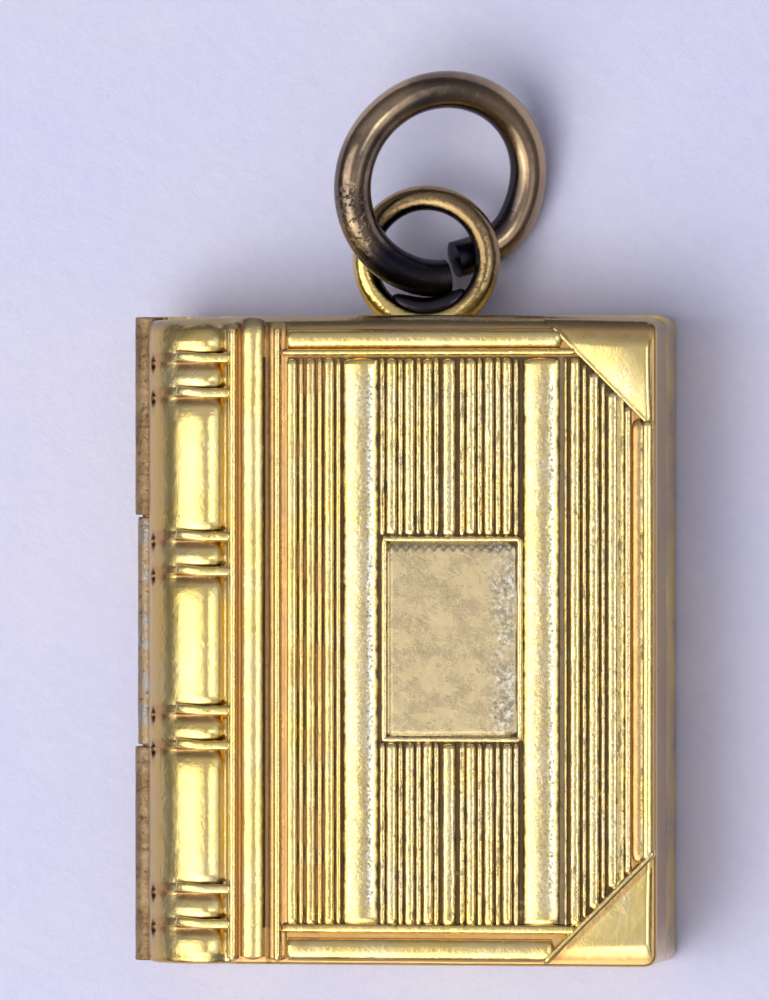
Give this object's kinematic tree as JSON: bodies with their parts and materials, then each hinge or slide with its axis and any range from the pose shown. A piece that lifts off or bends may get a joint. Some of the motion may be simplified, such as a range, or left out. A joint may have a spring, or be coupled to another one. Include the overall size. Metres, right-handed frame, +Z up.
{
  "type": "book locket",
  "caption": "Small gold-coloured locket shaped like a bound book, hinged along its spine, with a soldered ring and an open jump ring on its top edge.",
  "frame": {"origin": "middle of the back cover's outer face, the face that the locket lies on", "axes": "+X from the spine to the opening edge, +Y to the top edge with the rings, +Z up through the front cover"},
  "size_m": [0.0133, 0.0221, 0.0038],
  "materials": {
    "front_gold": "polished gold-filled brass with tarnish in the grooves",
    "back_gold": "worn polished gold-filled brass",
    "pin_metal": "dull",
    "ring_metal": "antique, tarnished"
  },
  "bodies": {
    "back": {"back_cover": "back_gold", "hinge_pin": "pin_metal", "jump_ring": "ring_metal"},
    "front": {"front_cover": "front_gold"}
  },
  "joints": [
    {"name": "cover_hinge", "type": "hinge", "parent": "back", "child": "front", "pos_m": [-0.00645, 0, 0.0019], "axis": [0, -1, 0], "range_deg": [0, 180]}
  ]
}
